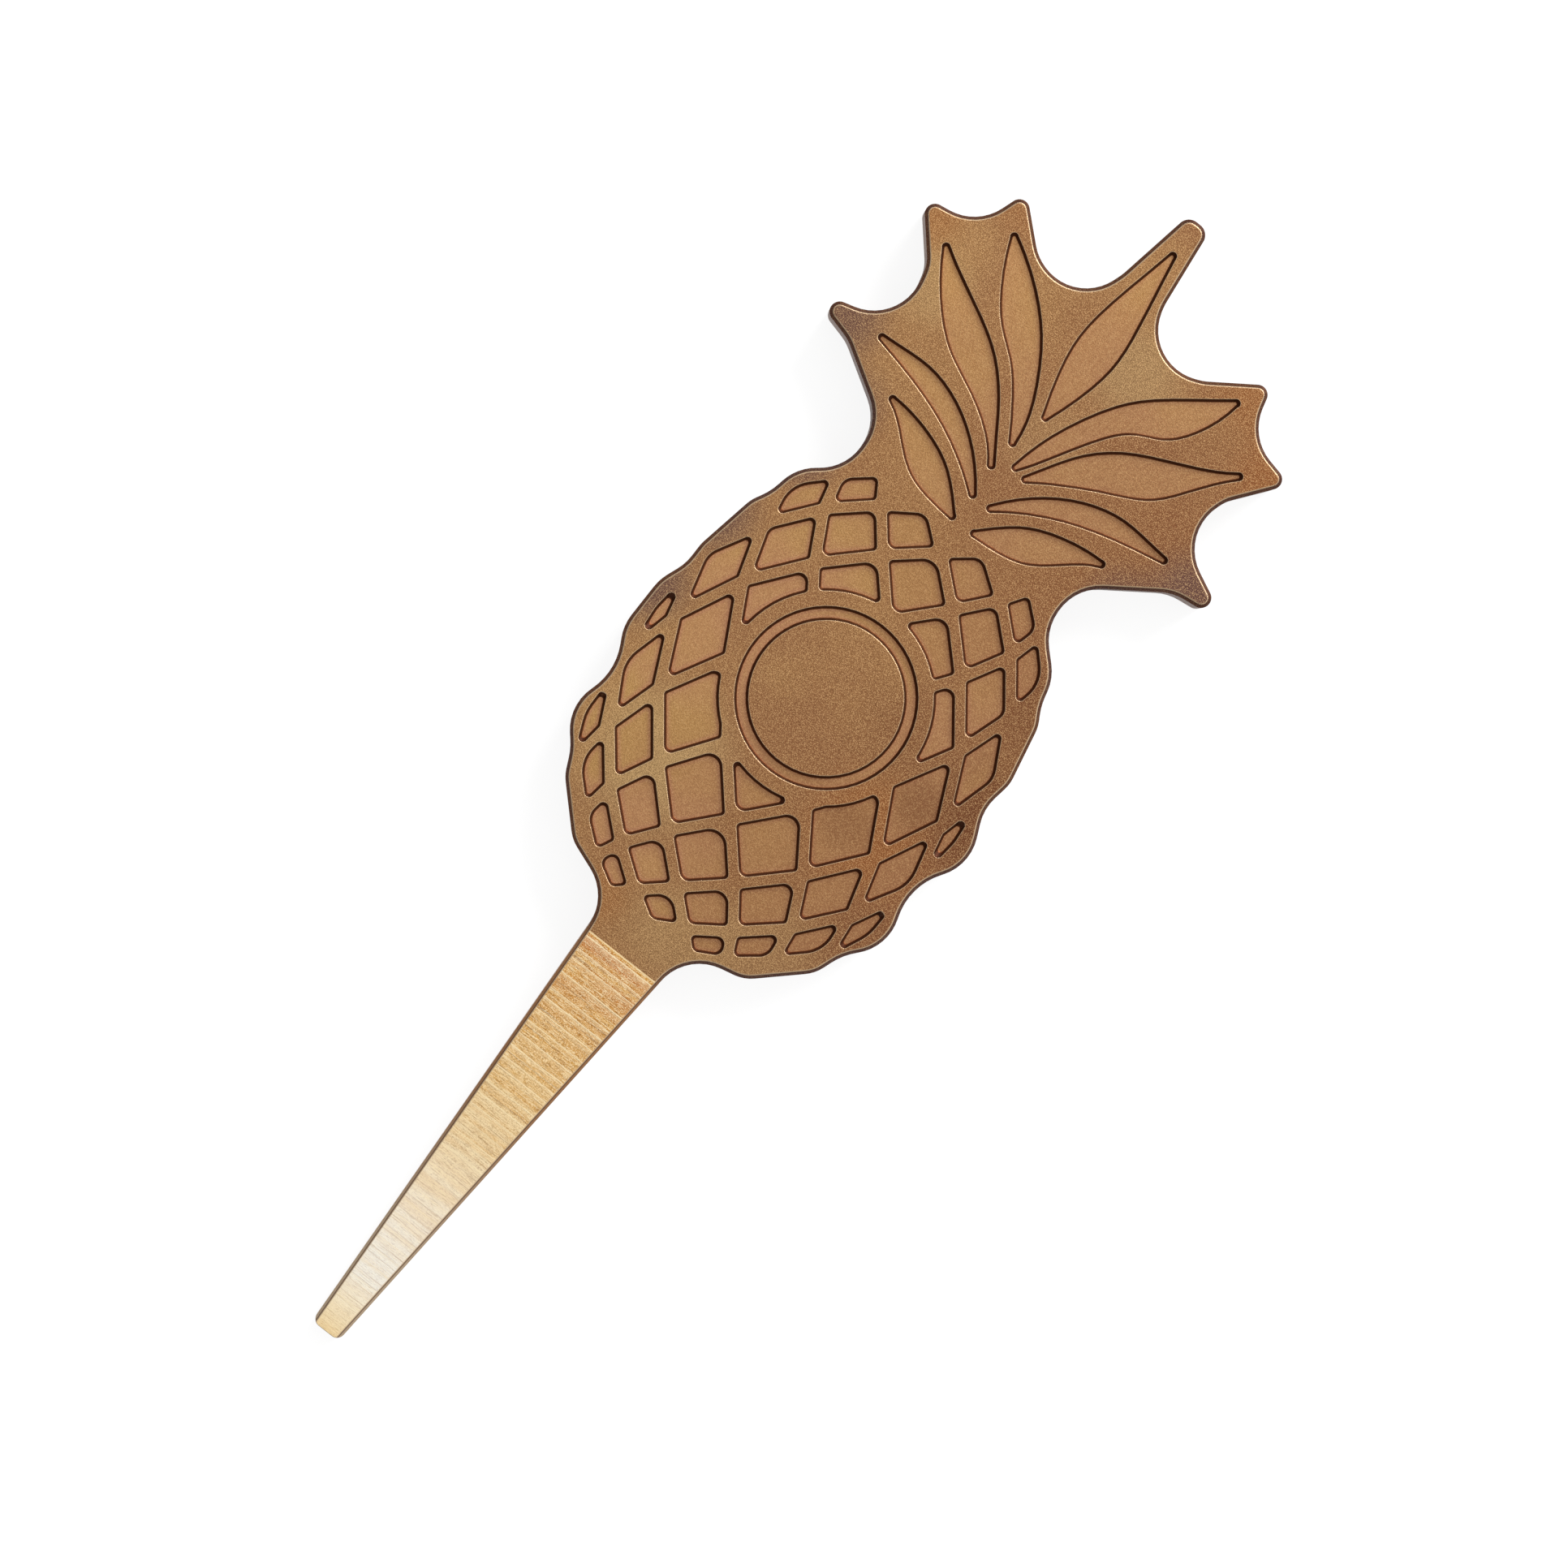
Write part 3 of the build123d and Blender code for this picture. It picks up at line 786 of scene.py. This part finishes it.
def patinated_brass():
    """The material of the whole tool."""
    material = bpy.data.materials.new("patinated_brass")
    material.use_nodes = True
    tree = material.node_tree
    tree.nodes.clear()
    coordinates = add_node(tree, "ShaderNodeTexCoord").outputs["Object"]
    scaled = {"Vector": coordinates, "Scale": MM_PER_METRE}
    place = add_node(tree, "ShaderNodeMapping", scaled).outputs[0]
    spot = add_node(tree, "ShaderNodeSeparateXYZ", {0: place})
    zone = add_node(tree, "ShaderNodeGroup", {"Place": place, **lengths_in_mm}, node_tree=zones)
    blast = add_node(tree, "ShaderNodeGroup", {"Place": place}, node_tree=grain)
    milled = add_node(tree, "ShaderNodeGroup", {"Place": place}, node_tree=floor_marks)
    passes = add_node(tree, "ShaderNodeGroup", {"Place": place}, node_tree=ramp_marks)

    own_normal = add_node(tree, "ShaderNodeNewGeometry").outputs["True Normal"]
    rim = rounded_normal(tree, rim_radius, RIM_SAMPLES)
    on_the_face = calculate(tree, "SUBTRACT", zone.outputs["Level"], zone.outputs["Floor"])
    # Mask of the rims on the face, where a painted highlight with some wear goes.
    rim_wear_and_highlight = times(tree, near_an_edge(tree, rim, own_normal, *RIM), on_the_face)
    wide_rounding = rounded_normal(tree, wall_reach, WALL_SAMPLES)
    near_wall = near_an_edge(tree, wide_rounding, own_normal, *NEAR_WALL)

    redness = redness_to_the_right(tree, spot, blast)
    land = land_skin(tree, place, blast, redness)
    floor = floor_skin(tree, place, blast, milled, redness, near_wall)
    skin = glaze(tree, zone.outputs["Floor"], land, floor)
    edges = calculate(tree, "MAXIMUM", zone.outputs["Side"], zone.outputs["Bevel"])
    skin = glaze(tree, edges, skin, edge_skin(tree, spot, zone, blast))
    # The walls: patina and painted shade, with a painted reflection at the foot.
    skin = glaze(tree, zone.outputs["Wall"], skin, wall_patina_and_shade(tree, zone))
    skin = glaze(tree, zone.outputs["Ramp"], skin, ramp_skin(tree, spot, blast, passes))
    # Painted highlight along every rim of the face, partly also wear.
    skin = glaze(tree, times(tree, rim_wear_and_highlight, RIM_HIGHLIGHT_STRENGTH), skin, RIM_HIGHLIGHT_CREAM)

    surface = {"Base Color": skin, "Metallic": METALLIC}
    surface["Roughness"] = roughness_of(tree, zone, blast, rim_wear_and_highlight)
    surface["Normal"] = relief_of(tree, zone, blast, passes, rim, own_normal)
    shader = add_node(tree, "ShaderNodeBsdfPrincipled", surface)
    add_node(tree, "ShaderNodeOutputMaterial", {"Surface": shader.outputs[0]})
    print("material", material.name, "has", len(tree.nodes), "nodes")
    return material


# %% [markdown]
# ## The finish goes on
# A mesh can carry a material itself, but the solid model's mesh is left alone, so the material
# is put in the slot of the object that shows it.

# %% Put the finish on the tool
for slot in tool.material_slots:
    slot.link = "OBJECT"
    slot.material = patinated_brass()
print("finish", [slot.material.name for slot in tool.material_slots])


# %% [markdown]
# ## The table
# The tool lies on a plain white table. Paint alone would need far more light on the tool to
# read as white, so the table top is grey and glows for the camera and for reflections only.
# It lights nothing, and it still darkens where the tool shades it.

# %% Table
TABLE_GREY = (0.2, 0.2, 0.2, 1)
TABLE_GLOW = 0.87
WHITE = (1, 1, 1, 1)
TABLE_WIDTH = 3.0
TABLE_TOP = -0.02 * MM


def seen_directly(tree):
    """1 for rays that see a surface directly, in a mirror or through glass, 0 for those that light it."""
    rays = add_node(tree, "ShaderNodeLightPath")
    mirror = calculate(tree, "MAXIMUM", rays.outputs["Is Camera Ray"], rays.outputs["Is Glossy Ray"])
    return calculate(tree, "MAXIMUM", mirror, rays.outputs["Is Transmission Ray"])


def white_table():
    """A grey table top that glows for rays that see it directly."""
    material = bpy.data.materials.new("white_table")
    material.use_nodes = True
    tree = material.node_tree
    tree.nodes.clear()
    paper = add_node(tree, "ShaderNodeBsdfDiffuse", {"Color": TABLE_GREY})
    seen = times(tree, seen_directly(tree), TABLE_GLOW)
    glow = add_node(tree, "ShaderNodeEmission", {"Color": WHITE, "Strength": seen})
    both = add_node(tree, "ShaderNodeAddShader", {0: paper.outputs[0], 1: glow.outputs[0]})
    add_node(tree, "ShaderNodeOutputMaterial", {"Surface": both.outputs[0]})
    return material


bpy.ops.mesh.primitive_plane_add(size=TABLE_WIDTH, location=(0, 0, TABLE_TOP))
table = bpy.context.object
table.name = "table"
table.data.materials.append(white_table())
print("table", TABLE_WIDTH, "m wide")

# %% [markdown]
# ## The room
# Metal shows what stands round it, and lamps alone would leave black reflections in the
# brass. A white tent, bright overhead and dimmer towards its walls, would fill them. The tent
# could be a mesh, but the world can be one too: its strength follows the direction, and it is
# brightest above the crown.

# %% Room
BRIGHTEST = (0.25, 0.4, 0.85)
BRIGHTEST_FROM = 0.85
WALL_STRENGTH = 0.22
CEILING_STRENGTH = 0.95

world = bpy.data.worlds.new("studio")
bpy.context.scene.world = world
world.use_nodes = True
room = world.node_tree
room.nodes.clear()
direction = add_node(room, "ShaderNodeTexCoord").outputs["Generated"]
overhead = add_node(room, "ShaderNodeVectorMath", {0: direction, 1: BRIGHTEST}, operation="DOT_PRODUCT")
rise = {"Value": overhead.outputs["Value"], "From Min": 0.0, "From Max": BRIGHTEST_FROM}
rise["To Min"] = WALL_STRENGTH
rise["To Max"] = CEILING_STRENGTH
brightness = add_node(room, "ShaderNodeMapRange", rise)
tent = add_node(room, "ShaderNodeBackground", {"Color": WHITE, "Strength": brightness.outputs[0]})
add_node(room, "ShaderNodeOutputWorld", {"Surface": tent.outputs[0]})
print("room from", WALL_STRENGTH, "to", CEILING_STRENGTH)


# %% [markdown]
# ## The lamps
# A soft box stands beyond the crown and shines along the tool. It lights the pocket walls
# that face it and leaves the others dark, which is what draws the lattice, and its mirror
# image runs along every rim that leans towards it. A lamp straight above would flatten all of
# that. A second, very faint one stands behind the prong and only takes the black out of the
# edges that face away from the first. Places and sizes are in metres, and power in watts.

# %% Lamps
def soft_box(name, place, target, size, power):
    """A square area lamp that faces its target."""
    data = bpy.data.lights.new(name, "AREA")
    data.size = size
    data.energy = power
    lamp = bpy.data.objects.new(name, data)
    bpy.context.collection.objects.link(lamp)
    lamp.location = place
    lamp.rotation_euler = (Vector(target) - Vector(place)).to_track_quat("-Z", "Y").to_euler()
    print("lamp", name, power, "W")
    return lamp


middle = Vector((0, -5 * MM, face_height))
soft_box("beyond_crown", (0.08, 0.55, 0.42), middle, size=0.35, power=5.0)
soft_box("behind_prong", (0.0, -0.3, 0.6), middle, size=0.3, power=0.05)

# %% [markdown]
# ## The camera
# The tool is seen from almost straight above, turned so that the prong points to the lower
# left. A camera close by would spread the outline, so this one stands back and has a long
# lens, which makes the view almost parallel. It leans a little more than one degree, which
# shows a sliver of the left-hand side. The lens follows from the width that is in view.

# %% Camera
view_centre = Vector((1.26 * MM, -5.88 * MM, face_height))
view_width = 98.5 * MM
view_distance = 0.45
sensor_width = 36.0
tool_turn = math.radians(38.304)
picture_up = Vector((-math.sin(tool_turn), math.cos(tool_turn), 0))
lean = Vector((-0.022, 0.0, 1.0)).normalized()
nearest_seen = 0.01

camera_data = bpy.data.cameras.new("camera")
camera = bpy.data.objects.new("camera", camera_data)
bpy.context.collection.objects.link(camera)
bpy.context.scene.camera = camera
camera_data.sensor_width = sensor_width
camera_data.lens = sensor_width * view_distance / view_width
camera_data.clip_start = nearest_seen
right = picture_up.cross(lean).normalized()
upright = lean.cross(right).normalized()
turn = Matrix((right, upright, lean)).transposed().to_4x4()
camera.matrix_world = Matrix.Translation(view_centre + lean * view_distance) @ turn
print("camera lens", round(camera_data.lens, 1), "mm")

# %% [markdown]
# ## Colours as they are written
# A film-like view would soften the whites and shift the browns, and then every colour above
# would have to be guessed. The Standard view shows a colour as it was written.

# %% View
bpy.context.scene.view_settings.view_transform = "Standard"
print("view", bpy.context.scene.view_settings.view_transform)
